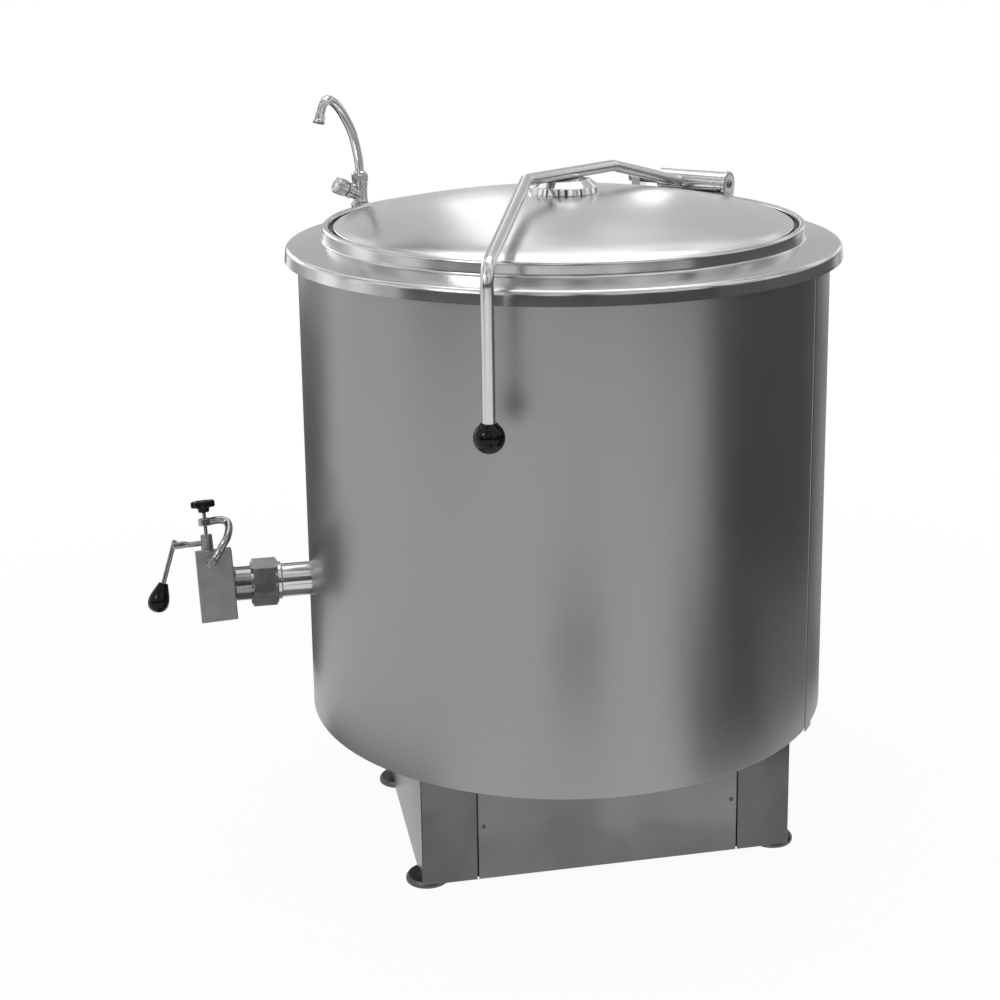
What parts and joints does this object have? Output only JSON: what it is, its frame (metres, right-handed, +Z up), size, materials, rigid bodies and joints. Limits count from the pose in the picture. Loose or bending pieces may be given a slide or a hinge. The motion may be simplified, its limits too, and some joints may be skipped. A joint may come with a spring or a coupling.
{
  "type": "steam cooking kettle",
  "caption": "Round steam-jacketed cooking kettle on a short plinth, with a domed hinged lid, a long lever with a ball, a swivel tap and a plug drain valve.",
  "frame": {"origin": "under the middle of the whole object's box, at floor level", "axes": "+Z up, front towards -Y, drain valve on -X, service panel on +X"},
  "size_m": [1.0624, 0.8842, 1.1013],
  "materials": {
    "satin_steel": "satin",
    "polished_steel": "polished",
    "chrome": "polished",
    "plain_steel": "matt",
    "black_plastic": "gloss",
    "seal_rubber": "matt",
    "wool": "matt",
    "brass": "satin",
    "spring_steel": "oiled"
  },
  "bodies": {
    "kettle": {"casing_shell": "satin_steel", "service_panel": "satin_steel", "casing_floor": "plain_steel", "panel_screws": "plain_steel", "top_rim": "polished_steel", "kettle_bowl": "satin_steel", "steam_jacket": "plain_steel", "insulation": "wool", "support_skirt": "plain_steel", "steam_inlet": "plain_steel", "condensate_outlet": "plain_steel", "safety_valve": "brass", "hinge_shaft": "plain_steel", "hinge_bracket": "plain_steel", "bracket_screws": "plain_steel", "hinge_end_screw": "polished_steel", "hinge_spring": "spring_steel", "tap_base": "chrome", "tap_body": "chrome", "tap_nut": "chrome", "water_pipe": "plain_steel", "drain_tube": "satin_steel", "union_nut": "satin_steel", "valve_body": "satin_steel", "pivot_bolt": "plain_steel", "plinth_left_cover": "satin_steel", "plinth_right_cover": "satin_steel", "plinth_front_panel": "satin_steel", "plinth_rear_panel": "satin_steel", "plinth_frame": "plain_steel", "cover_screws": "plain_steel"},
    "lid": {"lid_shell": "polished_steel", "lid_seal": "seal_rubber", "lid_boss": "polished_steel", "boss_bolt": "plain_steel", "lever_bar": "polished_steel", "ball_knob": "black_plastic", "hinge_tube": "polished_steel"},
    "tap_spout": {"tap_spout": "chrome"},
    "tap_handle": {"tap_knob": "chrome", "tap_spindle": "brass"},
    "plug": {"plug": "satin_steel", "plug_lever": "satin_steel", "pear_grip": "black_plastic"},
    "clamp": {"clamp_arm": "satin_steel"},
    "clamp_screw": {"clamp_screw": "plain_steel"},
    "star_knob": {"star_knob": "black_plastic"},
    "foot_front_left": {"foot_front_left": "plain_steel"},
    "foot_front_right": {"foot_front_right": "plain_steel"},
    "foot_rear_left": {"foot_rear_left": "plain_steel"},
    "foot_rear_right": {"foot_rear_right": "plain_steel"}
  },
  "joints": [
    {"name": "lid_hinge", "type": "hinge", "parent": "kettle", "child": "lid", "pos_m": [0.37825, 0.28917, 0.939], "axis": [-0.7071, 0.7071, 0], "range_deg": [0, 80], "stiffness_Nm_per_rad": 26, "springref_deg": 74.48},
    {"name": "spout_swivel", "type": "hinge", "parent": "kettle", "child": "tap_spout", "pos_m": [-0.16562, 0.2883, 0.96], "axis": [0, 0, 1], "range_deg": [-15, 110]},
    {"name": "tap_turn", "type": "hinge", "parent": "kettle", "child": "tap_handle", "pos_m": [-0.16562, 0.2883, 0.935], "axis": [-0.8313, -0.3701, 0.4147], "range_deg": [0, 270]},
    {"name": "plug_turn", "type": "hinge", "parent": "kettle", "child": "plug", "pos_m": [-0.43662, 0.02321, 0.38566], "axis": [-0.0436, 0.2332, 0.9714], "range_deg": [0, 90]},
    {"name": "clamp_swing", "type": "hinge", "parent": "kettle", "child": "clamp", "pos_m": [-0.4336, -0.00043, 0.4311], "axis": [0, 0.9724, -0.2334], "range_deg": [0, 35]},
    {"name": "screw_travel", "type": "slide", "parent": "clamp", "child": "clamp_screw", "axis": [-0.0436, 0.2332, 0.9714], "range_m": [0, 0.005]},
    {"name": "star_turn", "type": "hinge", "parent": "clamp_screw", "child": "star_knob", "pos_m": [-0.44185, 0.0512, 0.50223], "axis": [-0.0436, 0.2332, 0.9714], "range_deg": [0, 1800]},
    {"name": "foot_front_left_travel", "type": "slide", "parent": "kettle", "child": "foot_front_left", "axis": [0, 0, -1], "range_m": [0, 0.025]},
    {"name": "foot_front_right_travel", "type": "slide", "parent": "kettle", "child": "foot_front_right", "axis": [0, 0, -1], "range_m": [0, 0.025]},
    {"name": "foot_rear_left_travel", "type": "slide", "parent": "kettle", "child": "foot_rear_left", "axis": [0, 0, -1], "range_m": [0, 0.025]},
    {"name": "foot_rear_right_travel", "type": "slide", "parent": "kettle", "child": "foot_rear_right", "axis": [0, 0, -1], "range_m": [0, 0.025]}
  ],
  "couplings": [
    {"joint": "star_turn", "follows": "screw_travel", "rad_per_m": 6283.2}
  ]
}
